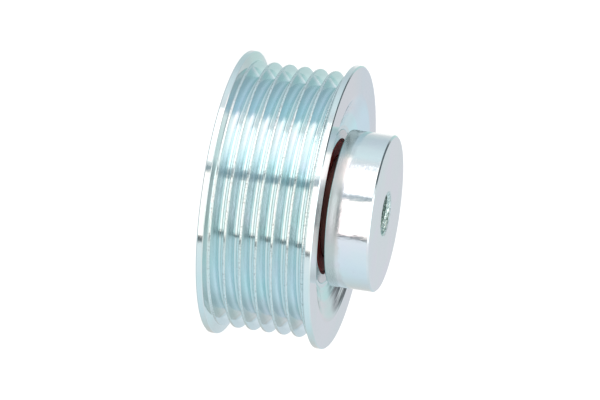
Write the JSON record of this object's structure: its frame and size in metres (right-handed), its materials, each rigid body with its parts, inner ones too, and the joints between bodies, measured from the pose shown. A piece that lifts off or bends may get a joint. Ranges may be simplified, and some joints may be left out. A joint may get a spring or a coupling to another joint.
{
  "type": "belt tensioner pulley",
  "caption": "Flanged steel tensioner pulley with ribbed-belt grooves, spinning on sealed ball bearings around a hub with a threaded hole.",
  "frame": {"origin": "centre of the pulley's back face, on the spin axis; the part stands on this face", "axes": "+Z along the spin axis, from the back face towards the hub's threaded face; the pulley is round, so +X and +Y are free"},
  "size_m": [0.0646, 0.0646, 0.036],
  "materials": {
    "zinc_plate": "turned steel, zinc plated with a clear blue passivate",
    "bearing_steel": "ground and polished bearing steel",
    "seal_rubber": "dark red-brown moulded rubber",
    "cage_polyamide": "natural glass-filled polyamide",
    "spring_steel": "phosphated spring steel"
  },
  "bodies": {
    "hub_side": {"hub": "zinc_plate", "front_inner_ring": "bearing_steel", "rear_inner_ring": "bearing_steel", "shaft_retaining_ring": "spring_steel"},
    "pulley": {"pulley_body": "zinc_plate", "front_outer_ring": "bearing_steel", "rear_outer_ring": "bearing_steel", "front_bearing_outer_seal": "seal_rubber", "front_bearing_inner_seal": "seal_rubber", "rear_bearing_outer_seal": "seal_rubber", "rear_bearing_inner_seal": "seal_rubber"},
    "front_cage": {"front_cage": "cage_polyamide"},
    "front_ball_01": {"front_ball_01": "bearing_steel"},
    "front_ball_02": {"front_ball_02": "bearing_steel"},
    "front_ball_03": {"front_ball_03": "bearing_steel"},
    "front_ball_04": {"front_ball_04": "bearing_steel"},
    "front_ball_05": {"front_ball_05": "bearing_steel"},
    "front_ball_06": {"front_ball_06": "bearing_steel"},
    "front_ball_07": {"front_ball_07": "bearing_steel"},
    "front_ball_08": {"front_ball_08": "bearing_steel"},
    "front_ball_09": {"front_ball_09": "bearing_steel"},
    "front_ball_10": {"front_ball_10": "bearing_steel"},
    "rear_cage": {"rear_cage": "cage_polyamide"},
    "rear_ball_01": {"rear_ball_01": "bearing_steel"},
    "rear_ball_02": {"rear_ball_02": "bearing_steel"},
    "rear_ball_03": {"rear_ball_03": "bearing_steel"},
    "rear_ball_04": {"rear_ball_04": "bearing_steel"},
    "rear_ball_05": {"rear_ball_05": "bearing_steel"},
    "rear_ball_06": {"rear_ball_06": "bearing_steel"},
    "rear_ball_07": {"rear_ball_07": "bearing_steel"},
    "rear_ball_08": {"rear_ball_08": "bearing_steel"},
    "rear_ball_09": {"rear_ball_09": "bearing_steel"},
    "rear_ball_10": {"rear_ball_10": "bearing_steel"}
  },
  "joints": [
    {"name": "pulley_spin", "type": "hinge", "parent": "hub_side", "child": "pulley", "pos_m": [0, 0, 0.01306], "axis": [0, 0, 1], "continuous": true},
    {"name": "front_cage_spin", "type": "hinge", "parent": "hub_side", "child": "front_cage", "pos_m": [0, 0, 0.0186], "axis": [0, 0, 1], "continuous": true},
    {"name": "front_ball_01_roll", "type": "hinge", "parent": "front_cage", "child": "front_ball_01", "pos_m": [0.013, 0, 0.0186], "axis": [0, 0, 1], "continuous": true},
    {"name": "front_ball_02_roll", "type": "hinge", "parent": "front_cage", "child": "front_ball_02", "pos_m": [0.01052, 0.00764, 0.0186], "axis": [0, 0, 1], "continuous": true},
    {"name": "front_ball_03_roll", "type": "hinge", "parent": "front_cage", "child": "front_ball_03", "pos_m": [0.00402, 0.01236, 0.0186], "axis": [0, 0, 1], "continuous": true},
    {"name": "front_ball_04_roll", "type": "hinge", "parent": "front_cage", "child": "front_ball_04", "pos_m": [-0.00402, 0.01236, 0.0186], "axis": [0, 0, 1], "continuous": true},
    {"name": "front_ball_05_roll", "type": "hinge", "parent": "front_cage", "child": "front_ball_05", "pos_m": [-0.01052, 0.00764, 0.0186], "axis": [0, 0, 1], "continuous": true},
    {"name": "front_ball_06_roll", "type": "hinge", "parent": "front_cage", "child": "front_ball_06", "pos_m": [-0.013, 0, 0.0186], "axis": [0, 0, 1], "continuous": true},
    {"name": "front_ball_07_roll", "type": "hinge", "parent": "front_cage", "child": "front_ball_07", "pos_m": [-0.01052, -0.00764, 0.0186], "axis": [0, 0, 1], "continuous": true},
    {"name": "front_ball_08_roll", "type": "hinge", "parent": "front_cage", "child": "front_ball_08", "pos_m": [-0.00402, -0.01236, 0.0186], "axis": [0, 0, 1], "continuous": true},
    {"name": "front_ball_09_roll", "type": "hinge", "parent": "front_cage", "child": "front_ball_09", "pos_m": [0.00402, -0.01236, 0.0186], "axis": [0, 0, 1], "continuous": true},
    {"name": "front_ball_10_roll", "type": "hinge", "parent": "front_cage", "child": "front_ball_10", "pos_m": [0.01052, -0.00764, 0.0186], "axis": [0, 0, 1], "continuous": true},
    {"name": "rear_cage_spin", "type": "hinge", "parent": "hub_side", "child": "rear_cage", "pos_m": [0, 0, 0.0086], "axis": [0, 0, 1], "continuous": true},
    {"name": "rear_ball_01_roll", "type": "hinge", "parent": "rear_cage", "child": "rear_ball_01", "pos_m": [0.013, 0, 0.0086], "axis": [0, 0, 1], "continuous": true},
    {"name": "rear_ball_02_roll", "type": "hinge", "parent": "rear_cage", "child": "rear_ball_02", "pos_m": [0.01052, 0.00764, 0.0086], "axis": [0, 0, 1], "continuous": true},
    {"name": "rear_ball_03_roll", "type": "hinge", "parent": "rear_cage", "child": "rear_ball_03", "pos_m": [0.00402, 0.01236, 0.0086], "axis": [0, 0, 1], "continuous": true},
    {"name": "rear_ball_04_roll", "type": "hinge", "parent": "rear_cage", "child": "rear_ball_04", "pos_m": [-0.00402, 0.01236, 0.0086], "axis": [0, 0, 1], "continuous": true},
    {"name": "rear_ball_05_roll", "type": "hinge", "parent": "rear_cage", "child": "rear_ball_05", "pos_m": [-0.01052, 0.00764, 0.0086], "axis": [0, 0, 1], "continuous": true},
    {"name": "rear_ball_06_roll", "type": "hinge", "parent": "rear_cage", "child": "rear_ball_06", "pos_m": [-0.013, 0, 0.0086], "axis": [0, 0, 1], "continuous": true},
    {"name": "rear_ball_07_roll", "type": "hinge", "parent": "rear_cage", "child": "rear_ball_07", "pos_m": [-0.01052, -0.00764, 0.0086], "axis": [0, 0, 1], "continuous": true},
    {"name": "rear_ball_08_roll", "type": "hinge", "parent": "rear_cage", "child": "rear_ball_08", "pos_m": [-0.00402, -0.01236, 0.0086], "axis": [0, 0, 1], "continuous": true},
    {"name": "rear_ball_09_roll", "type": "hinge", "parent": "rear_cage", "child": "rear_ball_09", "pos_m": [0.00402, -0.01236, 0.0086], "axis": [0, 0, 1], "continuous": true},
    {"name": "rear_ball_10_roll", "type": "hinge", "parent": "rear_cage", "child": "rear_ball_10", "pos_m": [0.01052, -0.00764, 0.0086], "axis": [0, 0, 1], "continuous": true}
  ],
  "couplings": [
    {"joint": "front_cage_spin", "follows": "pulley_spin", "ratio": 0.59158},
    {"joint": "front_ball_01_roll", "follows": "pulley_spin", "ratio": 2.6384},
    {"joint": "front_ball_02_roll", "follows": "pulley_spin", "ratio": 2.6384},
    {"joint": "front_ball_03_roll", "follows": "pulley_spin", "ratio": 2.6384},
    {"joint": "front_ball_04_roll", "follows": "pulley_spin", "ratio": 2.6384},
    {"joint": "front_ball_05_roll", "follows": "pulley_spin", "ratio": 2.6384},
    {"joint": "front_ball_06_roll", "follows": "pulley_spin", "ratio": 2.6384},
    {"joint": "front_ball_07_roll", "follows": "pulley_spin", "ratio": 2.6384},
    {"joint": "front_ball_08_roll", "follows": "pulley_spin", "ratio": 2.6384},
    {"joint": "front_ball_09_roll", "follows": "pulley_spin", "ratio": 2.6384},
    {"joint": "front_ball_10_roll", "follows": "pulley_spin", "ratio": 2.6384},
    {"joint": "rear_cage_spin", "follows": "pulley_spin", "ratio": 0.59158},
    {"joint": "rear_ball_01_roll", "follows": "pulley_spin", "ratio": 2.6384},
    {"joint": "rear_ball_02_roll", "follows": "pulley_spin", "ratio": 2.6384},
    {"joint": "rear_ball_03_roll", "follows": "pulley_spin", "ratio": 2.6384},
    {"joint": "rear_ball_04_roll", "follows": "pulley_spin", "ratio": 2.6384},
    {"joint": "rear_ball_05_roll", "follows": "pulley_spin", "ratio": 2.6384},
    {"joint": "rear_ball_06_roll", "follows": "pulley_spin", "ratio": 2.6384},
    {"joint": "rear_ball_07_roll", "follows": "pulley_spin", "ratio": 2.6384},
    {"joint": "rear_ball_08_roll", "follows": "pulley_spin", "ratio": 2.6384},
    {"joint": "rear_ball_09_roll", "follows": "pulley_spin", "ratio": 2.6384},
    {"joint": "rear_ball_10_roll", "follows": "pulley_spin", "ratio": 2.6384}
  ]
}
